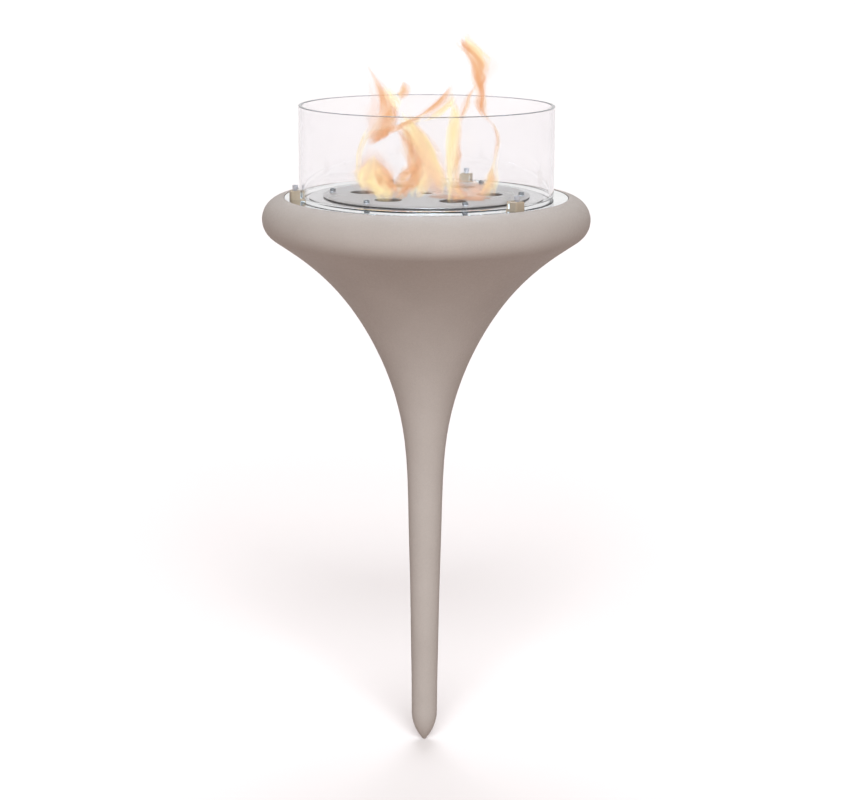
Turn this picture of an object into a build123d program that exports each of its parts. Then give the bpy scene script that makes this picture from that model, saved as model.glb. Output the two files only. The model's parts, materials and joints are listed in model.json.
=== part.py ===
"""Garden torch: a trumpet-shaped moulded body on a ground spike, with a liquid-fuel burner
set in its mouth and a clear wind guard clamped around the flames.

Units are millimetres. The origin is the point of the spike, +Z runs up the torch's axis.
"""
from build123d import *
from math import atan2, cos, degrees, pi, radians, sin, sqrt
import os

os.makedirs("parts", exist_ok=True)

# ---------------------------------------------------------------- overall
H_TOTAL = 1000.0        # point of the spike to the top of the wind guard
Z_DECK = 864.0          # top face of the polished deck ring

# ---------------------------------------------------------------- moulded body
R_RIM_CURVE = 33.0      # section radius of the rolled rim
R_RIM_AXIS = 212.5      # radius at which that section is centred
Z_LIP = Z_DECK + 0.5    # crown of the rim
Z_RIM_AXIS = Z_LIP - R_RIM_CURVE
RIM_END = 55.0          # the rim curve runs this many degrees below the horizontal
WALL = 6.0              # moulded wall
Z_SEAT = 860.0          # ledge under the deck ring
SEAT_THICK = 9.0
R_MOUTH = 166.0
# the trumpet: (radius, height) stations from the rim down to the leg
TRUMPET = [(203.3, 785), (177.3, 765), (131.8, 720), (84.5, 650), (50.2, 570), (33.0, 495),
           (28.0, 440), (25.4, 350), (22.8, 250), (21.2, 150)]
TIP_R, TIP_LEN = 20.0, 48.0     # bullet-shaped end of the spike
R_NOSE = 3.0            # blunted point
Z_CAVITY = 540.0        # below this the leg is solid around its steel spine
R_CAVITY = 36.8

# ---------------------------------------------------------------- spine
R_SPINE, SPINE_WALL = 14.0, 2.0
Z_SPINE_LOW, Z_SPINE_TOP = 70.0, 556.0
POINT_LEN = 44.0        # steel point closing the lower end of the spine
ANCHOR_Z = [150.0, 280.0, 410.0]
R_ANCHOR, ANCHOR_THICK = 17.5, 3.0
R_COLLAR, COLLAR_THICK = 32.0, 4.0

# ---------------------------------------------------------------- deck
R_DECK = 212.0
DECK_THICK = 3.0
R_DECK_OPEN = 150.5
R_WELL, WELL_WALL = 152.0, 1.2
Z_WELL = 785.0
GASKET_IN, GASKET_OUT = 174.0, 209.0

# ---------------------------------------------------------------- clamps
CLAMP_ANGLES = [71.0, 191.0, 311.0]
CLAMP_W = 17.6          # around the ring
CLAMP_H = 13.0          # above the deck
CLAMP_OUT = 205.0       # outer reach of the block
CLAMP_TAB = 1.6         # upright tab inside the glass
CLAMP_FOOT = 2.0        # under the glass
R_CLAMP_SCREW = 197.0
LINER = 0.5
RUN = 0.05              # running clearance of the screws

# ---------------------------------------------------------------- wind guard
R_GLASS, GLASS_WALL = 190.0, 5.0
Z_GLASS = Z_DECK + CLAMP_FOOT + LINER + 0.5
SLOT_GAP = 0.3          # between glass and liner

# ---------------------------------------------------------------- burner insert
R_TANK, TANK_WALL = 133.0, 1.2
Z_TANK = 792.0
R_RIM_PAN = 175.0       # rim of the tank lying on the deck
Z_PAN = 865.5           # its top face
PAN_THICK = 0.8
PLATE_TOP = 869.0
PLATE_THICK = 1.2
R_PLATE, R_PLATE_FLAT = 154.0, 147.0
PLATE_LIP_LOW = 866.9
PLATE_EDGE_TOP = 868.0
HOLE_R, HOLE_RING, HOLE_COUNT, HOLE_START = 20.0, 94.3, 6, 54.0
FILL_R = 8.75
POST_RING, POST_START = 142.0, 53.0
SCREW_R = 2.5
HEAD_R, HEAD_H, WASHER_H = 4.25, 3.7, 0.8


def ring_spots(radius, count, start):
    """Points spaced evenly on a circle."""
    step = 360.0 / count
    return [(radius * cos(radians(start + k * step)), radius * sin(radians(start + k * step)))
            for k in range(count)]


def rim_point(section_radius, angle):
    """A point on a circle about the rim's section centre."""
    a = radians(angle)
    return (R_RIM_AXIS + section_radius * cos(a), Z_RIM_AXIS + section_radius * sin(a))


HOLES = ring_spots(HOLE_RING, HOLE_COUNT, HOLE_START)
POSTS = ring_spots(POST_RING, HOLE_COUNT, POST_START)
CLAMP_SCREWS = [(R_CLAMP_SCREW * cos(radians(a)), R_CLAMP_SCREW * sin(radians(a)))
                for a in CLAMP_ANGLES]
inset = radians(RIM_END)
down_rim = (-sin(inset), -cos(inset))       # direction in which the rim curve leaves
r_in = R_RIM_CURVE - WALL                   # inner section radius of the rim
under_seat = Z_SEAT - SEAT_THICK

# the spike's end: a small nose sphere running into one large arc that meets the leg
R_OGIVE = (TIP_R ** 2 + (TIP_LEN - R_NOSE) ** 2 - R_NOSE ** 2) / (2 * (TIP_R - R_NOSE))
OGIVE_TURN = degrees(atan2(TIP_LEN - R_NOSE, R_OGIVE - TIP_R))

# inner wall of the trumpet: the outer stations moved in along the wall's normal
HOLLOW = []
for (ra, za), (rb, zb), (rc, zc) in zip(TRUMPET, TRUMPET[1:5], TRUMPET[2:6]):
    run, rise = ra - rc, za - zc
    span = sqrt(run * run + rise * rise)
    HOLLOW.append((rb - WALL * rise / span, zb + WALL * run / span))

# ================================================================ torch (fixed)
with BuildPart() as torch_body:
    with BuildSketch(Plane.XZ):
        with BuildLine():
            CenterArc((0, R_NOSE), R_NOSE, -90, 90 - OGIVE_TURN)
            CenterArc((TIP_R - R_OGIVE, TIP_LEN), R_OGIVE, -OGIVE_TURN, OGIVE_TURN)
            Spline(rim_point(R_RIM_CURVE, -RIM_END), *TRUMPET, (TIP_R, TIP_LEN),
                   tangents=[down_rim, (0, -1)])
            CenterArc((R_RIM_AXIS, Z_RIM_AXIS), R_RIM_CURVE, -RIM_END, 90 + RIM_END)
            Polyline((R_RIM_AXIS, Z_LIP), (R_RIM_AXIS, Z_SEAT), (0, Z_SEAT), (0, 0))
        make_face()
    revolve(axis=Axis.Z)
    # hollow of the trumpet and the mouth
    hollow_top = sqrt(r_in ** 2 - (under_seat - Z_RIM_AXIS) ** 2)
    with BuildSketch(Plane.XZ):
        with BuildLine():
            low = rim_point(r_in, -RIM_END)
            Spline(low, *HOLLOW, (R_CAVITY, Z_CAVITY), tangents=[down_rim, (-0.16, -1)])
            ThreePointArc(low, rim_point(r_in, 0), (R_RIM_AXIS + hollow_top, under_seat))
            Polyline((R_RIM_AXIS + hollow_top, under_seat), (R_MOUTH, under_seat),
                     (R_MOUTH, Z_SEAT + 1), (0, Z_SEAT + 1), (0, Z_CAVITY), (R_CAVITY, Z_CAVITY))
        make_face()
    revolve(axis=Axis.Z, mode=Mode.SUBTRACT)
    # bore for the spine, its point and its anchor rings
    with BuildSketch(Plane.XZ):
        with BuildLine():
            Polyline((0, Z_SPINE_LOW - POINT_LEN), (R_SPINE, Z_SPINE_LOW), (R_SPINE, Z_CAVITY + 1),
                     (0, Z_CAVITY + 1), close=True)
        make_face()
    revolve(axis=Axis.Z, mode=Mode.SUBTRACT)
    for z in ANCHOR_Z:
        with BuildSketch(Plane.XY.offset(z)):
            Circle(R_ANCHOR)
        extrude(amount=ANCHOR_THICK, mode=Mode.SUBTRACT)
    # pockets for the threaded inserts
    with BuildSketch(Plane.XY.offset(Z_SEAT)):
        with Locations(*CLAMP_SCREWS):
            Circle(4.0)
    extrude(amount=-SEAT_THICK - 1, mode=Mode.SUBTRACT)

with BuildPart() as spine_tube:
    with BuildSketch(Plane.XY.offset(Z_SPINE_LOW)):
        Circle(R_SPINE)
        Circle(R_SPINE - SPINE_WALL, mode=Mode.SUBTRACT)
    extrude(amount=Z_SPINE_TOP - Z_SPINE_LOW)

with BuildPart() as spine_point:
    with BuildSketch(Plane.XZ):
        with BuildLine():
            Polyline((0, Z_SPINE_LOW - POINT_LEN), (R_SPINE, Z_SPINE_LOW),
                     (R_SPINE - SPINE_WALL, Z_SPINE_LOW),
                     (R_SPINE - SPINE_WALL, Z_SPINE_LOW + 18), (0, Z_SPINE_LOW + 18), close=True)
        make_face()
    revolve(axis=Axis.Z)

with BuildPart() as spine_anchors:
    for z in ANCHOR_Z:
        with BuildSketch(Plane.XY.offset(z)):
            Circle(R_ANCHOR)
            Circle(R_SPINE, mode=Mode.SUBTRACT)
        extrude(amount=ANCHOR_THICK)

with BuildPart() as spine_collar:
    with BuildSketch(Plane.XY.offset(Z_CAVITY)):
        Circle(R_COLLAR)
        Circle(R_SPINE, mode=Mode.SUBTRACT)
    extrude(amount=COLLAR_THICK)
    with BuildSketch(Plane.XY.offset(Z_CAVITY + COLLAR_THICK)):
        Circle(R_SPINE + 3)
        Circle(R_SPINE, mode=Mode.SUBTRACT)
    extrude(amount=8)

with BuildPart() as threaded_inserts:
    with BuildSketch(Plane.XY.offset(Z_SEAT)):
        with Locations(*CLAMP_SCREWS):
            Circle(4.0)
            Circle(SCREW_R + RUN, mode=Mode.SUBTRACT)
    extrude(amount=-SEAT_THICK)

with BuildPart() as deck_gasket:
    with BuildSketch(Plane.XY.offset(Z_SEAT)):
        Circle(GASKET_OUT)
        Circle(GASKET_IN, mode=Mode.SUBTRACT)
        with Locations(*CLAMP_SCREWS):
            Circle(3.2, mode=Mode.SUBTRACT)
    extrude(amount=Z_DECK - DECK_THICK - Z_SEAT)

with BuildPart() as deck_ring:
    with BuildSketch(Plane.XY.offset(Z_DECK - DECK_THICK)):
        Circle(R_DECK)
        Circle(R_DECK_OPEN, mode=Mode.SUBTRACT)
        with Locations(*CLAMP_SCREWS):
            Circle(2.8, mode=Mode.SUBTRACT)
    extrude(amount=DECK_THICK)
    top = deck_ring.faces().sort_by(Axis.Z)[-1]
    outer = top.edges().filter_by(GeomType.CIRCLE).sort_by(SortBy.RADIUS)[-1]
    inner = top.edges().filter_by(GeomType.CIRCLE).sort_by(SortBy.RADIUS)[-2]
    fillet([outer, inner], 0.8)

with BuildPart() as burner_well:
    with BuildSketch(Plane.XY.offset(Z_WELL)):
        Circle(R_WELL)
    extrude(amount=Z_DECK - DECK_THICK - Z_WELL)
    with BuildSketch(Plane.XY.offset(Z_WELL + WELL_WALL)):
        Circle(R_WELL - WELL_WALL)
    extrude(amount=Z_DECK - DECK_THICK - Z_WELL, mode=Mode.SUBTRACT)
    lower = burner_well.edges().filter_by(GeomType.CIRCLE).sort_by(Axis.Z)[0]
    fillet(lower, 1.0)

with BuildPart() as insulation_ring:
    with BuildSketch(Plane.XY.offset(Z_WELL + 6)):
        Circle(R_MOUTH - 1)
        Circle(R_WELL, mode=Mode.SUBTRACT)
    extrude(amount=under_seat - Z_WELL - 8)

# ================================================================ glass clamps
half_w = CLAMP_W / 2
slot_in = R_GLASS - GLASS_WALL - SLOT_GAP - LINER       # faces of the slot for glass and liner
slot_out = R_GLASS + SLOT_GAP + LINER
tab_in = slot_in - CLAMP_TAB


def clamp_block(angle):
    """Block with a foot under the glass and an upright tab inside it."""
    with BuildPart() as block:
        with BuildSketch(Plane.XY.offset(Z_DECK)):
            with Locations(((slot_out + CLAMP_OUT) / 2 - 1, 0)):
                RectangleRounded(CLAMP_OUT - slot_out + 2, CLAMP_W, 3.0)
        extrude(amount=CLAMP_H)
        crown = block.faces().sort_by(Axis.Z)[-1].edges()
        fillet(crown, 1.6)
        # foot and tab follow the curve of the glass
        with BuildSketch(Plane.XY.offset(Z_DECK)):
            Circle(slot_out + 3)
            Circle(tab_in, mode=Mode.SUBTRACT)
            with Locations((R_GLASS, 0)):
                Rectangle(60, CLAMP_W - 2, mode=Mode.INTERSECT)
        extrude(amount=CLAMP_FOOT)
        with BuildSketch(Plane.XY.offset(Z_DECK)):
            Circle(slot_in)
            Circle(tab_in, mode=Mode.SUBTRACT)
            with Locations((R_GLASS, 0)):
                Rectangle(60, CLAMP_W - 2, mode=Mode.INTERSECT)
        extrude(amount=CLAMP_H)
        # room for the glass
        with BuildSketch(Plane.XY.offset(Z_DECK + CLAMP_FOOT)):
            Circle(slot_out)
            Circle(slot_in, mode=Mode.SUBTRACT)
        extrude(amount=CLAMP_H + 1, mode=Mode.SUBTRACT)
        with BuildSketch(Plane.XY.offset(Z_DECK)):
            with Locations((R_CLAMP_SCREW, 0)):
                Circle(SCREW_R + RUN)
        extrude(amount=CLAMP_H + 1, mode=Mode.SUBTRACT)
    return block.part.rotate(Axis.Z, angle)


def clamp_screw(angle):
    """Thumb screw: milled head on a short collar, shank down into the insert."""
    top = Z_DECK + CLAMP_H + 0.1
    with BuildPart() as screw:
        with BuildSketch(Plane.XZ):
            with BuildLine():
                Polyline((0, Z_SEAT - SEAT_THICK + 1), (SCREW_R - 0.6, Z_SEAT - SEAT_THICK + 1),
                         (SCREW_R, Z_SEAT - SEAT_THICK + 1.6), (SCREW_R, top), (3.3, top),
                         (2.9, top + 2.2), (4.2, top + 2.2), (4.2, top + 7.3), (3.5, top + 8.0),
                         (0, top + 8.0), close=True)
            make_face()
        revolve(axis=Axis.Z)
        with BuildSketch(Plane.XY.offset(top + 2.2)):
            with PolarLocations(4.4, 16):
                Circle(0.42)
        extrude(amount=6, mode=Mode.SUBTRACT)
        with BuildSketch(Plane.XY.offset(top + 8.0)):
            RegularPolygon(1.75, 6)
        extrude(amount=-2.6, mode=Mode.SUBTRACT)
    return screw.part.translate((R_CLAMP_SCREW, 0, 0)).rotate(Axis.Z, angle)


clamps = [clamp_block(a) for a in CLAMP_ANGLES]
screws = [clamp_screw(a) for a in CLAMP_ANGLES]

# soft channel lining each slot
liner_half = 6.8 / R_GLASS * 180 / pi
with BuildPart() as clamp_liners:
    for a in CLAMP_ANGLES:
        ends = [(320 * cos(radians(a + s * liner_half)), 320 * sin(radians(a + s * liner_half)))
                for s in (-1, 1)]
        with BuildSketch(Plane.XY.offset(Z_DECK + CLAMP_FOOT)) as sector:
            Circle(slot_out)
            Circle(slot_in, mode=Mode.SUBTRACT)
            with BuildLine():
                Polyline((0, 0), *ends, close=True)
            make_face(mode=Mode.INTERSECT)
        extrude(amount=CLAMP_H - CLAMP_FOOT - 4)
        with BuildSketch(Plane.XY.offset(Z_DECK + CLAMP_FOOT + LINER)) as core:
            Circle(slot_out - LINER)
            Circle(slot_in + LINER, mode=Mode.SUBTRACT)
            with BuildLine():
                Polyline((0, 0), *ends, close=True)
            make_face(mode=Mode.INTERSECT)
        extrude(amount=CLAMP_H, mode=Mode.SUBTRACT)

# ================================================================ wind guard
with BuildPart() as glass_guard:
    with BuildSketch(Plane.XY.offset(Z_GLASS)):
        Circle(R_GLASS)
        Circle(R_GLASS - GLASS_WALL, mode=Mode.SUBTRACT)
    extrude(amount=H_TOTAL - Z_GLASS)
    fillet(glass_guard.edges().filter_by(GeomType.CIRCLE), 1.0)

# ================================================================ burner insert (lifts out)
pan_under = Z_PAN - PAN_THICK
with BuildPart() as fuel_tank:
    with BuildSketch(Plane.XZ):
        with BuildLine():
            Polyline((0, Z_TANK), (R_TANK - 3, Z_TANK), (R_TANK, Z_TANK + 3), (R_TANK, pan_under),
                     (R_RIM_PAN - 0.4, pan_under), (R_RIM_PAN, pan_under + 0.4), (R_RIM_PAN, Z_PAN),
                     (R_TANK - TANK_WALL, Z_PAN), (R_TANK - TANK_WALL, Z_TANK + 3.5),
                     (R_TANK - 3.5, Z_TANK + TANK_WALL), (0, Z_TANK + TANK_WALL), close=True)
        make_face()
    revolve(axis=Axis.Z)
    with BuildSketch(Plane.XY.offset(Z_PAN)):
        with Locations(*POSTS):
            Circle(SCREW_R)
    extrude(amount=-PAN_THICK, mode=Mode.SUBTRACT)

with BuildPart() as tank_seal:
    with BuildSketch(Plane.XY.offset(Z_DECK + 0.3)):
        Circle(R_RIM_PAN - 4)
        Circle(R_DECK_OPEN + 6, mode=Mode.SUBTRACT)
    extrude(amount=pan_under - Z_DECK - 0.3)

lid_top = Z_PAN - 1.0
with BuildPart() as tank_lid:
    with BuildSketch(Plane.XY.offset(lid_top - 1.2)):
        Circle(R_TANK - TANK_WALL)
        with Locations(*HOLES):
            Circle(HOLE_R + 1.4, mode=Mode.SUBTRACT)
        Circle(FILL_R + 1.25, mode=Mode.SUBTRACT)
    extrude(amount=1.2)

plate_under = PLATE_TOP - PLATE_THICK
with BuildPart() as burner_necks:
    with BuildSketch(Plane.XY.offset(Z_PAN - 24)):
        with Locations(*HOLES):
            Circle(HOLE_R + 1.4)
            Circle(HOLE_R + 0.2, mode=Mode.SUBTRACT)
    extrude(amount=plate_under - Z_PAN + 24)

with BuildPart() as filler_neck:
    with BuildSketch(Plane.XY.offset(Z_PAN - 30)):
        Circle(FILL_R + 1.25)
        Circle(FILL_R, mode=Mode.SUBTRACT)
    extrude(amount=PLATE_TOP - Z_PAN + 30)

with BuildPart() as fuel_bed:
    with BuildSketch(Plane.XY.offset(Z_TANK + TANK_WALL + 0.2)):
        Circle(R_TANK - TANK_WALL - 3)
        Circle(FILL_R + 3, mode=Mode.SUBTRACT)
    extrude(amount=40)

with BuildPart() as wick_pads:
    with BuildSketch(Plane.XY.offset(Z_PAN - 22)):
        with Locations(*HOLES):
            Circle(HOLE_R)
    extrude(amount=9)

with BuildPart() as burner_plate:
    with BuildSketch(Plane.XZ):
        with BuildLine():
            Polyline((0, plate_under), (R_PLATE_FLAT - 0.4, plate_under),
                     (R_PLATE - 1.2, PLATE_EDGE_TOP - PLATE_THICK + 0.3),
                     (R_PLATE - 1.2, PLATE_LIP_LOW), (R_PLATE, PLATE_LIP_LOW),
                     (R_PLATE, PLATE_EDGE_TOP - 0.4), (R_PLATE - 0.5, PLATE_EDGE_TOP),
                     (R_PLATE_FLAT, PLATE_TOP), (0, PLATE_TOP), close=True)
        make_face()
    revolve(axis=Axis.Z)
    with BuildSketch(Plane.XY.offset(PLATE_TOP + 1)):
        with Locations(*HOLES):
            Circle(HOLE_R)
        with Locations(*POSTS):
            Circle(SCREW_R)
        Circle(FILL_R + 1.25)
    extrude(amount=-6, mode=Mode.SUBTRACT)

with BuildPart() as plate_spacers:
    with BuildSketch(Plane.XY.offset(Z_PAN)):
        with Locations(*POSTS):
            Circle(4.4)
            Circle(SCREW_R, mode=Mode.SUBTRACT)
    extrude(amount=plate_under - Z_PAN)

with BuildPart() as plate_washers:
    with BuildSketch(Plane.XY.offset(PLATE_TOP)):
        with Locations(*POSTS):
            Circle(4.8)
            Circle(SCREW_R, mode=Mode.SUBTRACT)
    extrude(amount=WASHER_H)

head_low = PLATE_TOP + WASHER_H
with BuildPart() as plate_screws:
    with BuildSketch(Plane.XY.offset(pan_under - 6)):
        with Locations(*POSTS):
            Circle(SCREW_R)
    extrude(amount=head_low - pan_under + 6)
    with BuildSketch(Plane.XY.offset(head_low)):
        with Locations(*POSTS):
            Circle(HEAD_R)
    extrude(amount=HEAD_H)
    rims = plate_screws.edges().filter_by(GeomType.CIRCLE).group_by(Axis.Z)[-1]
    chamfer(rims, 0.6)
    with BuildSketch(Plane.XY.offset(head_low + HEAD_H)):
        with Locations(*POSTS):
            RegularPolygon(2.2, 6)
    extrude(amount=-2, mode=Mode.SUBTRACT)

with BuildPart() as plate_nuts:
    with BuildSketch(Plane.XY.offset(pan_under)):
        with Locations(*POSTS):
            RegularPolygon(4.0, 6, major_radius=False)
            Circle(SCREW_R, mode=Mode.SUBTRACT)
    extrude(amount=-4.0)

# ================================================================ export
pieces = {
    "torch_body": torch_body.part, "spine_tube": spine_tube.part, "spine_point": spine_point.part,
    "spine_anchors": spine_anchors.part, "spine_collar": spine_collar.part,
    "threaded_inserts": threaded_inserts.part, "deck_gasket": deck_gasket.part,
    "deck_ring": deck_ring.part, "burner_well": burner_well.part,
    "insulation_ring": insulation_ring.part, "clamp_liners": clamp_liners.part,
    "glass_guard": glass_guard.part, "fuel_tank": fuel_tank.part, "tank_seal": tank_seal.part,
    "tank_lid": tank_lid.part, "burner_necks": burner_necks.part, "filler_neck": filler_neck.part,
    "fuel_bed": fuel_bed.part, "wick_pads": wick_pads.part, "burner_plate": burner_plate.part,
    "plate_spacers": plate_spacers.part, "plate_washers": plate_washers.part,
    "plate_screws": plate_screws.part, "plate_nuts": plate_nuts.part,
}
for side, block, screw in zip(("back", "left", "front"), clamps, screws):
    pieces["clamp_" + side] = block
    pieces["clamp_screw_" + side] = screw
for name, shape in pieces.items():
    shape.label = name
    export_step(shape, "parts/" + name + ".step")
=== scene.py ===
"""Garden torch: materials, glass, flames, floor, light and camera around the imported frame."""
import json
import math
import random

import bpy
from mathutils import Matrix, Vector, noise

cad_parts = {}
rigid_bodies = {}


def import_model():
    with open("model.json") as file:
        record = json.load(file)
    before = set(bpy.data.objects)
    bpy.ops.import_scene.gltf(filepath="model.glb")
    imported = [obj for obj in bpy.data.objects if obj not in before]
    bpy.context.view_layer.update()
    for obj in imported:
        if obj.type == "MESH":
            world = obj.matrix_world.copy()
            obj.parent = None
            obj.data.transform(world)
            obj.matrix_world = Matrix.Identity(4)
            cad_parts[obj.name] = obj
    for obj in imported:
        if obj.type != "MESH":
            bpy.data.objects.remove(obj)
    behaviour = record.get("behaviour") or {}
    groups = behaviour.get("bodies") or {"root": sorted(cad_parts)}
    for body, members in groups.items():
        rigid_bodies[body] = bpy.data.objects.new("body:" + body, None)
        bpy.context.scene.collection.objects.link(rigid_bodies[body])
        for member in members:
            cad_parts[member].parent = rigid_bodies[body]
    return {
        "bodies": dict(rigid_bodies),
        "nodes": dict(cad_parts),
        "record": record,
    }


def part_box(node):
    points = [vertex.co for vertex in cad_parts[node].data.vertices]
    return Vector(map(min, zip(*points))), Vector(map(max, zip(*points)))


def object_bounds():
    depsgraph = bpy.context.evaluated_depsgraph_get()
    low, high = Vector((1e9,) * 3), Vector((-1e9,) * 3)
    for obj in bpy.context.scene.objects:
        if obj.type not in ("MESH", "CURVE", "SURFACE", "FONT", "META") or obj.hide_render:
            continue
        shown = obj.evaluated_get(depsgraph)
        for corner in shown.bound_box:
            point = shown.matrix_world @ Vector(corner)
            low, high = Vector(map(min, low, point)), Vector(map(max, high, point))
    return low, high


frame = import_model()
cad_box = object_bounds()

scene = bpy.context.scene
nodes = frame["nodes"]
bodies = frame["bodies"]
TAU = 2 * math.pi
GLASS_TOP = cad_box[1][2]       # the glass is the highest piece
BRUSHING = (1.0, 24.0, 24.0)    # the plate's brush marks run along X


# ------------------------------------------------------------------ node helpers
def new_material(name):
    mat = bpy.data.materials.new(name)
    mat.use_nodes = True
    mat.node_tree.nodes.clear()
    return mat


class Tree:
    """A short way to write a shader tree: each call adds a node and gives back what it made."""

    def __init__(self, tree):
        self.tree = tree

    def add(self, kind, links=None, values=None, **props):
        """A node with its properties, then its constant inputs, then its linked inputs."""
        node = self.tree.nodes.new(kind)
        for key, value in props.items():
            setattr(node, key, value)
        for key, value in (values or {}).items():
            node.inputs[key].default_value = value
        for key, source in (links or {}).items():
            self.tree.links.new(source, node.inputs[key])
        return node

    def coords(self, stretch=(1, 1, 1)):
        """Object coordinates in metres, scaled by stretch along each axis."""
        place = self.add("ShaderNodeTexCoord")
        return self.add("ShaderNodeMapping", {"Vector": place.outputs["Object"]},
                        {"Scale": stretch}).outputs["Vector"]

    def noise(self, vector, scale, detail=3.0, rough=0.5):
        return self.add("ShaderNodeTexNoise", {"Vector": vector},
                        {"Scale": scale, "Detail": detail, "Roughness": rough}).outputs["Fac"]

    def ramp(self, fac, stops):
        node = self.add("ShaderNodeValToRGB", {"Fac": fac})
        ramp = node.color_ramp
        while len(ramp.elements) < len(stops):
            ramp.elements.new(0.5)
        for element, (place, colour) in zip(ramp.elements, stops):
            element.position = place
            element.color = (*colour, 1) if len(colour) == 3 else colour
        return node.outputs["Color"]

    def span(self, value, low, high, to_low, to_high):
        """value mapped from low..high to to_low..to_high, and held at the ends."""
        return self.add("ShaderNodeMapRange", {"Value": value},
                        {"From Min": low, "From Max": high, "To Min": to_low,
                         "To Max": to_high}).outputs["Result"]

    def bump(self, height, strength, distance):
        return self.add("ShaderNodeBump", {"Height": height},
                        {"Strength": strength, "Distance": distance}).outputs["Normal"]

    def surface(self, links=None, values=None, volume=None):
        """A principled surface wired to the output, with a volume behind it if one is given."""
        shader = self.add("ShaderNodeBsdfPrincipled", links, values)
        out = self.add("ShaderNodeOutputMaterial")
        self.tree.links.new(shader.outputs["BSDF"], out.inputs["Surface"])
        if volume is not None:
            self.tree.links.new(volume, out.inputs["Volume"])


def dress(material, *names):
    """The material on every slot of these CAD nodes."""
    for name in names:
        data = nodes[name].data
        if not data.materials:
            data.materials.append(material)
        for k in range(len(data.materials)):
            data.materials[k] = material


# ------------------------------------------------------------------ materials
def body_material():
    """Matte moulding with a fine grain, a pebbled sheen and faint mottling."""
    mat = new_material("body_shell")
    t = Tree(mat.node_tree)
    v = t.coords()
    grain = t.noise(v, 900, 2.0, 0.6)       # about a millimetre across
    pebble = t.noise(v, 260, 3.0, 0.55)     # about four millimetres
    cloud = t.noise(v, 9, 4.0, 0.55)        # about a hand's width
    tone = t.ramp(cloud, [(0.30, (0.208, 0.154, 0.125)), (0.70, (0.226, 0.169, 0.138))])
    speck = t.span(grain, 0.35, 0.65, 0.955, 1.045)
    colour = t.add("ShaderNodeVectorMath", {0: tone, 1: speck}, operation="MULTIPLY")
    height = t.add("ShaderNodeMath", {0: grain, 1: pebble}, operation="ADD").outputs[0]
    t.surface({"Base Color": colour.outputs["Vector"],
               "Roughness": t.span(pebble, 0.3, 0.7, 0.58, 0.74),
               "Normal": t.bump(height, 0.35, 0.0006)},
              {"Specular IOR Level": 0.35})
    return mat


def metal(name, colour, rough, brushed=None, dark=None, bump=0.05, metallic=1.0):
    """Metal with faint smudges, from dark to colour; brushed stretches its brushing marks."""
    mat = new_material(name)
    t = Tree(mat.node_tree)
    smudge = t.noise(t.coords(), 18, 4.0, 0.6)
    dark = dark or tuple(c * 0.86 for c in colour)
    tone = t.ramp(smudge, [(0.32, dark), (0.62, colour)])
    links = {"Base Color": tone, "Roughness": t.span(smudge, 0.3, 0.7, rough * 0.8, rough * 1.25)}
    if brushed:
        lines = t.noise(t.coords(brushed), 60, 3.0, 0.7)
        links["Normal"] = t.bump(lines, bump, 0.0004)
    else:
        links["Normal"] = t.bump(t.noise(t.coords(), 140, 2.0, 0.5), bump, 0.0002)
    t.surface(links, {"Metallic": metallic})
    return mat


def soft(name, colour, rough=0.7):
    """Rubber with a soft mottle and a fine grain."""
    mat = new_material(name)
    t = Tree(mat.node_tree)
    v = t.coords()
    mottle = t.noise(v, 120, 3.0, 0.6)
    t.surface({"Base Color": t.ramp(mottle, [(0.3, tuple(c * 0.82 for c in colour)), (0.7, colour)]),
               "Roughness": t.span(mottle, 0.3, 0.7, rough * 0.9, rough),
               "Normal": t.bump(t.noise(v, 800, 2.0, 0.5), 0.2, 0.0003)})
    return mat


def fibre(name, colour, scorch):
    """Matted fibre, scorched in patches."""
    mat = new_material(name)
    t = Tree(mat.node_tree)
    hair = t.noise(t.coords((1, 1, 5)), 420, 4.0, 0.7)
    patch = t.noise(t.coords(), 45, 3.0, 0.6)
    burnt = t.ramp(patch, [(0.38, scorch), (0.62, colour)])
    t.surface({"Base Color": burnt, "Normal": t.bump(hair, 0.8, 0.0015)},
              {"Roughness": 0.95, "Sheen Weight": 0.15})
    return mat


def glass_material():
    """Clear glass: faint smears on its faces, painted shade that greys its top edge, and a
    lilac-grey tint that deepens where the eye looks along the wall."""
    mat = new_material("clear_glass")
    t = Tree(mat.node_tree)
    haze = t.noise(t.coords((1, 1, 0.3)), 14, 3.0, 0.6)
    place = t.add("ShaderNodeTexCoord").outputs["Object"]
    height = t.add("ShaderNodeSeparateXYZ", {"Vector": place}).outputs["Z"]
    # painted shade: the top millimetre of the wall is greyed to stand in for the dark line along the
    # rim
    painted_rim_shade = t.span(height, GLASS_TOP - 0.0016, GLASS_TOP - 0.0008, 0.0, 1.0)
    tint = t.add("ShaderNodeVolumeAbsorption", None,
                 {"Color": (0.772, 0.768, 0.795, 1), "Density": 46})
    t.surface({"Roughness": t.span(haze, 0.45, 0.9, 0.0, 0.03),
               "Base Color": t.ramp(painted_rim_shade, [(0.0, (1, 1, 1)), (1.0, (0.36, 0.37, 0.41))])},
              {"Transmission Weight": 1.0, "IOR": 1.47}, tint.outputs[0])
    return mat


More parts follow.
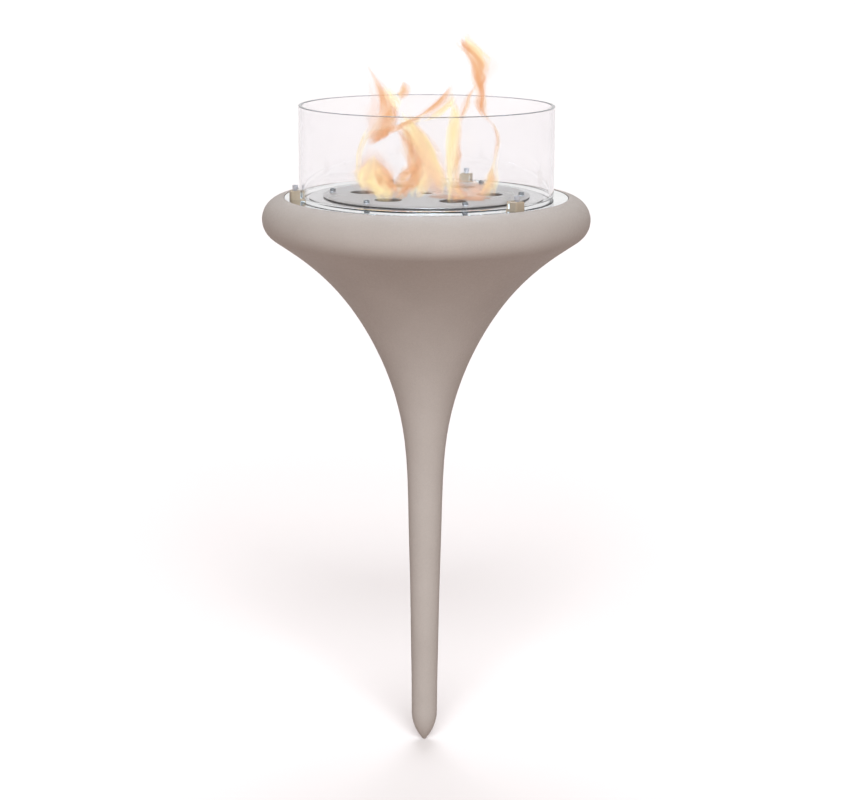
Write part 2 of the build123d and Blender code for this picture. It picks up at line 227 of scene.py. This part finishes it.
body = body_material()
polished = metal("polished_steel", (0.80, 0.80, 0.80), 0.07, bump=0.02)
plate = metal("brushed_plate", (0.505, 0.47, 0.45), 0.30, brushed=BRUSHING, bump=0.06)
pan = metal("pan_steel", (0.58, 0.57, 0.565), 0.13, bump=0.02)
neck = metal("neck_steel", (0.42, 0.36, 0.30), 0.35, dark=(0.16, 0.11, 0.08))
well = metal("well_steel", (0.55, 0.55, 0.55), 0.32)
galvanised = metal("galvanised_steel", (0.50, 0.52, 0.54), 0.42, dark=(0.34, 0.36, 0.38))
brass = metal("insert_brass", (0.72, 0.54, 0.26), 0.28)
champagne = metal("clamp_metal", (0.26, 0.18, 0.12), 0.58, dark=(0.21, 0.145, 0.095), bump=0.02,
                  metallic=0.2)
screw_steel = metal("screw_steel", (0.40, 0.36, 0.36), 0.34, metallic=0.7)
dark_fixing = metal("dark_fixings", (0.060, 0.055, 0.052), 0.66, dark=(0.045, 0.041, 0.039),
                    metallic=0.0)
black_rubber = soft("silicone", (0.035, 0.035, 0.035))
clear_rubber = soft("clear_silicone", (0.55, 0.55, 0.54), 0.5)
mineral = fibre("mineral_fibre", (0.50, 0.45, 0.33), (0.36, 0.31, 0.20))
ceramic = fibre("ceramic_fibre", (0.55, 0.48, 0.38), (0.05, 0.035, 0.025))
glass = glass_material()

BY_SLOT = {
    "body_shell": body, "polished_steel": polished, "brushed_plate": plate, "pan_steel": pan,
    "neck_steel": neck, "well_steel": well, "galvanised_steel": galvanised, "insert_brass": brass,
    "clamp_metal": champagne, "screw_steel": screw_steel, "dark_fixings": dark_fixing,
    "silicone": black_rubber, "clear_silicone": clear_rubber, "mineral_fibre": mineral,
    "ceramic_fibre": ceramic, "clear_glass": glass,
}
for part in frame["record"]["subparts"]:
    dress(BY_SLOT[part["material_slot"]], part["node"])
nodes["glass_guard"].visible_shadow = False     # clear glass hardly dims the light

# ------------------------------------------------------------------ flames
# The fire isn't part of the torch, so it is staged; it hangs on the burner's empty and so
# rises with the burner. Each tongue is a bundle of narrow strands and broad, thinner veils,
# all of them closed skins around a glowing vapour.
Z_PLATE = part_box("burner_plate")[1][2]
MM = 0.001


def vapour(name, colour, density):
    """Vapour that dims what is behind it as fast as it glows, so it nears its own colour."""
    mat = new_material(name)
    t = Tree(mat.node_tree)
    dim = t.add("ShaderNodeVolumeAbsorption", None, {"Color": (0, 0, 0, 1), "Density": density})
    glow = t.add("ShaderNodeEmission", None, {"Color": (*colour, 1), "Strength": density})
    both = t.add("ShaderNodeAddShader", {0: dim.outputs[0], 1: glow.outputs[0]})
    out = t.add("ShaderNodeOutputMaterial")
    t.tree.links.new(both.outputs[0], out.inputs["Volume"])
    return mat


# each sort of vapour: name, colour, density
DEEP = ("flame_deep", (0.82, 0.34, 0.13), 74)
PEACH = ("flame_peach", (0.98, 0.60, 0.32), 46)
PALE = ("flame_pale", (1.06, 0.87, 0.42), 66)
CREAM = ("flame_cream", (1.18, 1.00, 0.60), 85)
HAZE = ("flame_haze", (0.97, 0.56, 0.36), 10)
VEIL = 0.26     # how much thinner the broad veils are than the strands
THICK = {sort: vapour(*sort) for sort in (DEEP, PEACH, PALE, CREAM, HAZE)}
THIN = {sort: vapour(sort[0] + "_veil", sort[1], sort[2] * VEIL) for sort in THICK}
# what the strands of each sort of tongue are made of
MIX = {DEEP: (DEEP, DEEP, PEACH, DEEP), PEACH: (PEACH, DEEP, PEACH, PALE),
       PALE: (PALE, PEACH, CREAM, PALE), CREAM: (CREAM, PALE, CREAM, PEACH), HAZE: (HAZE,)}
STRANDS, STRAND_SPREAD, STRAND_SHARE = 6, 0.75, (0.22, 0.50)
VEILS, VEIL_SPREAD, VEIL_SHARE = 3, 0.35, (0.85, 1.25)
chance = random.Random(11)
noise.seed_set(7)       # Blender's noise otherwise starts from the clock

# tongue: sort, depth y of the first and last station, then stations (x, height above the
# plate, half width), all in millimetres
TONGUES = [
    # left tongue and the mass under it
    (PEACH, (0, 0), [(-88, 70, 4), (-76, 80, 12), (-66, 94, 19), (-60, 110, 16), (-58, 126, 11),
                     (-63, 141, 9), (-70, 157, 7), (-82, 178, 5), (-94, 197, 2)]),
    (DEEP, (-5, -5), [(-86, 70, 4), (-74, 82, 11), (-62, 94, 13), (-52, 104, 6)]),
    (DEEP, (0, 0), [(-70, 108, 3), (-66, 126, 6), (-66, 142, 5), (-71, 157, 4), (-78, 170, 2)]),
    (PALE, (5, 0), [(-92, 2, 7), (-100, 20, 6), (-102, 42, 4), (-98, 66, 4), (-88, 88, 6),
                    (-78, 100, 3)]),
    (DEEP, (-26, -20), [(-48, 108, 2), (-47, 120, 3), (-48, 134, 2)]),
    (CREAM, (-18, -18), [(-42, 120, 4), (-46, 135, 7), (-54, 149, 7), (-66, 163, 3)]),
    (PEACH, (10, 10), [(-38, 136, 3), (-36, 144, 8), (-34, 154, 8), (-36, 166, 3)]),
    # left base
    (PALE, (-10, 5), [(-72, -8, 12), (-76, 8, 17), (-81, 26, 18), (-84, 42, 14), (-80, 60, 5)]),
    (CREAM, (-20, -10), [(-92, 4, 5), (-94, 20, 8), (-90, 36, 8), (-82, 50, 4)]),
    (PALE, (-70, -40), [(-58, -6, 11), (-62, 8, 15), (-68, 22, 14), (-72, 36, 8), (-76, 48, 3)]),
    (PEACH, (-20, -10), [(-48, -6, 8), (-54, 10, 12), (-62, 28, 13), (-72, 44, 8), (-80, 58, 3)]),
    (DEEP, (-60, -50), [(-52, 6, 4), (-58, 16, 9), (-65, 30, 9), (-74, 44, 4)]),
    # glow between the mouths, under the opening in the flames
    (PEACH, (-50, -30), [(-42, -6, 13), (-36, 12, 16), (-26, 30, 15), (-18, 48, 11),
                         (-14, 66, 4)]),
    (DEEP, (-30, -30), [(-42, 24, 4), (-30, 33, 8), (-19, 42, 8), (-12, 56, 3)]),
    (PALE, (-50, -40), [(-14, -4, 10), (-8, 14, 11), (-4, 34, 10), (-4, 56, 4)]),
    # broad diagonal
    (PALE, (-20, -10), [(30, -6, 14), (26, 14, 14), (19, 34, 13), (8, 58, 15), (-8, 84, 17),
                        (-22, 106, 16), (-38, 126, 7)]),
    (PEACH, (-20, -20), [(-58, 88, 5), (-44, 98, 11), (-30, 106, 12), (-16, 114, 9), (-4, 122, 3)]),
    (PEACH, (-10, -20), [(2, -6, 15), (-6, 24, 15), (-15, 52, 13), (-24, 78, 11), (-34, 96, 9),
                         (-48, 106, 4)]),
    (PEACH, (0, -5), [(12, 10, 10), (6, 34, 11), (-2, 58, 10), (-14, 82, 8), (-26, 104, 4)]),
    (CREAM, (-26, -20), [(24, 8, 6), (18, 28, 8), (8, 48, 8), (-4, 70, 6), (-16, 90, 3)]),
    # stroke climbing to the right
    (PEACH, (10, 30), [(-20, 110, 3), (-6, 115, 6), (9, 125, 7), (23, 139, 6), (33, 151, 4),
                       (37, 163, 2)]),
    (DEEP, (8, 26), [(-12, 113, 2), (2, 120, 4), (16, 132, 4), (29, 146, 3), (36, 158, 2)]),
    (PALE, (10, 30), [(-8, 104, 3), (8, 110, 6), (22, 120, 7), (33, 132, 7), (38, 146, 3)]),
    # upright column
    (PALE, (-70, -30), [(40, -6, 12), (38, 18, 11), (36, 46, 10), (38, 74, 9), (40, 100, 9),
                        (42, 122, 8), (38, 140, 6), (36, 157, 2)]),
    (CREAM, (-60, -30), [(34, 26, 4), (35, 56, 6), (38, 92, 7), (42, 116, 6), (38, 138, 3)]),
    (DEEP, (-50, -50), [(38, 30, 3), (43, 48, 6), (46, 64, 6), (49, 82, 3)]),
    (PEACH, (-60, -50), [(44, -8, 15), (46, 4, 13), (44, 18, 9), (44, 34, 5), (46, 52, 2)]),
    # branch between the column and the tall tongue
    (PEACH, (30, 20), [(50, 98, 3), (54, 111, 6), (58, 125, 6), (62, 140, 5), (70, 154, 4),
                       (78, 167, 2)]),
    # tall right-hand tongue
    (PEACH, (0, 0), [(100, 98, 2), (92, 109, 6), (85, 121, 8), (81, 136, 9), (81, 149, 6),
                     (79, 163, 8), (78, 177, 11), (77, 191, 13), (70, 204, 12), (60, 216, 12),
                     (52, 226, 9), (56, 236, 4)]),
    (DEEP, (-6, -6), [(87, 110, 2), (80, 126, 6), (81, 145, 4), (78, 162, 6), (77, 176, 8),
                      (74, 190, 4)]),
    (PALE, (6, 6), [(88, 176, 4), (86, 190, 8), (80, 202, 10), (71, 214, 10), (62, 227, 7),
                    (58, 238, 3)]),
    (DEEP, (0, 0), [(66, 198, 2), (61, 211, 6), (56, 221, 5), (54, 229, 2)]),
    # thin line down to the right-hand base
    (PEACH, (-8, -8), [(98, 40, 3), (103, 60, 4), (105, 80, 4), (101, 98, 4), (93, 113, 3)]),
    (PALE, (-10, -10), [(92, -8, 13), (94, 8, 13), (96, 23, 9), (100, 38, 5), (103, 56, 3),
                        (104, 76, 2)]),
    (PEACH, (-16, -16), [(84, -4, 8), (91, 13, 8), (95, 29, 6), (98, 46, 2)]),
    # haze over the plate and round the tongues
    (HAZE, (-30, -20), [(-72, -6, 30), (-72, 24, 30), (-76, 54, 20), (-84, 76, 8)]),
    (HAZE, (-50, -30), [(10, -8, 44), (8, 18, 38), (0, 46, 28), (-8, 80, 16), (-20, 112, 8)]),
    (HAZE, (-60, -50), [(60, -8, 38), (60, 8, 34), (62, 18, 24), (66, 28, 8)]),
    (HAZE, (0, 0), [(-74, 76, 18), (-66, 108, 22), (-70, 144, 14), (-86, 182, 7)]),
    (HAZE, (0, 0), [(84, 116, 10), (80, 152, 12), (78, 190, 20), (60, 226, 14)]),
    (HAZE, (20, 20), [(-14, 106, 9), (8, 116, 13), (28, 136, 13), (40, 162, 6)]),
]


def smooth(values, t):
    """Catmull-Rom through the values at t from 0 to 1."""
    spans = len(values) - 1
    k = min(int(t * spans), spans - 1)
    u = t * spans - k
    a, b = values[max(k - 1, 0)], values[k]
    c, d = values[k + 1], values[min(k + 2, spans)]
    return 0.5 * (2 * b + (c - a) * u + (2 * a - 5 * b + 4 * c - d) * u ** 2
                  + (3 * b - 3 * c + d - a) * u ** 3)


def strand(name, material, depth, stations, seed, spread, share):
    """One closed, tapering, rippling strand of a tongue. It lies within spread of the tongue's
    half width from its middle line, and share of that half width is its own."""
    rings, around = 7 * len(stations), 10
    first, last = chance.uniform(0.0, 0.16), chance.uniform(0.86, 1.0)
    side, front = chance.uniform(-spread, spread), chance.uniform(-spread, spread)
    xs, zs, ws = zip(*stations)
    verts, faces = [], []
    for r in range(rings + 1):
        t = first + (last - first) * r / rings
        width = max(smooth(ws, t), 1.0)
        taper = math.sin(math.pi * (r / rings)) ** 0.55
        drift = noise.noise_vector(Vector((t * 5, 0, 0)) + seed) * min(width, 12) * 0.8
        drift.z = 0     # the rings stay in order, so the skin never crosses itself
        y = depth[0] + (depth[1] - depth[0]) * t
        centre = Vector((smooth(xs, t) + side * width, y + front * width, smooth(zs, t))) + drift
        thick = share * width * taper + 0.15
        for s in range(around):
            a = TAU * s / around
            lobe = 1 + 0.35 * noise.noise(Vector((2 * math.cos(a), 2 * math.sin(a), t * 9)) + seed)
            edge = Vector((math.cos(a), 0.8 * math.sin(a), 0)) * thick * lobe
            verts.append((centre + edge) * MM + Vector((0, 0, Z_PLATE)))
    for r in range(rings):
        low, high = r * around, (r + 1) * around
        for s in range(around):
            n = (s + 1) % around
            faces.append((low + s, low + n, high + n, high + s))
    faces.append(tuple(range(around - 1, -1, -1)))
    faces.append(tuple(rings * around + s for s in range(around)))
    mesh = bpy.data.meshes.new(name)
    mesh.from_pydata(verts, [], faces)
    mesh.materials.append(material)
    obj = bpy.data.objects.new(name, mesh)
    scene.collection.objects.link(obj)
    obj.visible_shadow = obj.visible_glossy = False     # light passes through fire
    obj.parent = bodies["burner"]


for k, (sort, depth, stations) in enumerate(TONGUES):
    for n in range(STRANDS):
        seed = Vector((k * 3.7, n * 5.3, k + n))
        strand(f"flame_{k:02d}_{n}", THICK[MIX[sort][n % len(MIX[sort])]], depth, stations, seed,
               STRAND_SPREAD, chance.uniform(*STRAND_SHARE))
    for n in range(VEILS):
        seed = Vector((k * 3.7, n * 5.3, k + n + 40))
        strand(f"veil_{k:02d}_{n}", THIN[MIX[sort][n % len(MIX[sort])]], depth, stations, seed,
               VEIL_SPREAD, chance.uniform(*VEIL_SHARE))

# ------------------------------------------------------------------ floor
FLOOR_R, FLOOR_SIDES = 45.0, 96
FLOOR_GAP = 0.0005      # between the floor and the torch's point


def floor():
    """A wide, pale, faintly patchy disc."""
    mat = new_material("floor")
    t = Tree(mat.node_tree)
    patch = t.noise(t.coords(), 0.7, 2.0, 0.5)
    tone = t.ramp(patch, [(0.3, (0.505, 0.400, 0.352)), (0.7, (0.515, 0.410, 0.362))])
    t.surface({"Base Color": tone}, {"Roughness": 0.9, "Specular IOR Level": 0.1})
    mesh = bpy.data.meshes.new("floor")
    turns = [TAU * k / FLOOR_SIDES for k in range(FLOOR_SIDES)]
    ring = [(FLOOR_R * math.cos(a), FLOOR_R * math.sin(a), 0) for a in turns]
    mesh.from_pydata(ring, [], [tuple(range(FLOOR_SIDES))])
    mesh.materials.append(mat)
    obj = bpy.data.objects.new("floor", mesh)
    scene.collection.objects.link(obj)
    obj.location.z = cad_box[0][2] - FLOOR_GAP


floor()


# ------------------------------------------------------------------ light
def soft_sun(name, direction, strength, spread, colour):
    """A broad, even lamp far away in this direction, its spread in degrees, so that the floor
    stays pale out to its edge."""
    data = bpy.data.lights.new(name, "SUN")
    data.energy = strength
    data.angle = math.radians(spread)
    data.color = colour
    obj = bpy.data.objects.new(name, data)
    scene.collection.objects.link(obj)
    obj.visible_glossy = False      # the metal mirrors the studio's walls, not the lamps
    obj.rotation_mode = "QUATERNION"
    obj.rotation_quaternion = (-Vector(direction)).to_track_quat("-Z", "Y")


soft_sun("key", (0.04, -0.82, 0.57), 8.8, 42, (0.68, 0.86, 1.0))
soft_sun("top", (0.0, 0.50, 0.866), 2.8, 30, (0.65, 0.83, 1.0))

# the studio's walls: dim behind the camera, brighter towards the back
WHITE = (1.0, 1.0, 1.0)
world = bpy.data.worlds.new("studio")
scene.world = world
world.use_nodes = True
world.node_tree.nodes.clear()
w = Tree(world.node_tree)
parts = w.add("ShaderNodeSeparateXYZ",
              {"Vector": w.add("ShaderNodeTexCoord").outputs["Generated"]})
along = w.span(parts.outputs["Y"], -1.0, 1.0, 0.0, 1.0)
pale = w.ramp(along, [(0.0, (0.30, 0.30, 0.30)), (0.5, (0.42, 0.42, 0.42)), (1.0, WHITE)])
# white all round near the horizon, fading out between 9 and 14 degrees above it
skirt = w.span(parts.outputs["Z"], 0.16, 0.24, 1.0, 0.0)
shade = w.add("ShaderNodeMixRGB", {"Fac": skirt, "Color1": pale}, {"Color2": (*WHITE, 1.0)})
sky = w.add("ShaderNodeBackground", {"Color": shade.outputs["Color"]}, {"Strength": 1.0})
out = w.add("ShaderNodeOutputWorld")
w.tree.links.new(sky.outputs[0], out.inputs["Surface"])

scene.view_settings.view_transform = "Standard"
scene.view_settings.look = "None"

# ------------------------------------------------------------------ camera
LENS, SENSOR = 88.42, 36.0
DISTANCE, PITCH, ROLL = 3.2086, math.radians(13.112), math.radians(0.245)
AIM = Vector((0.002975, 0.0, 0.55173))
camera_data = bpy.data.cameras.new("camera")
camera_data.lens, camera_data.sensor_width = LENS, SENSOR
camera = bpy.data.objects.new("camera", camera_data)
scene.collection.objects.link(camera)
back = Vector((0, -math.cos(PITCH), math.sin(PITCH)))
turn = (-back).to_track_quat("-Z", "Y").to_matrix().to_4x4() @ Matrix.Rotation(ROLL, 4, "Z")
camera.matrix_world = Matrix.Translation(AIM + back * DISTANCE) @ turn
camera_data.clip_end = 200      # past the floor's far edge
scene.camera = camera
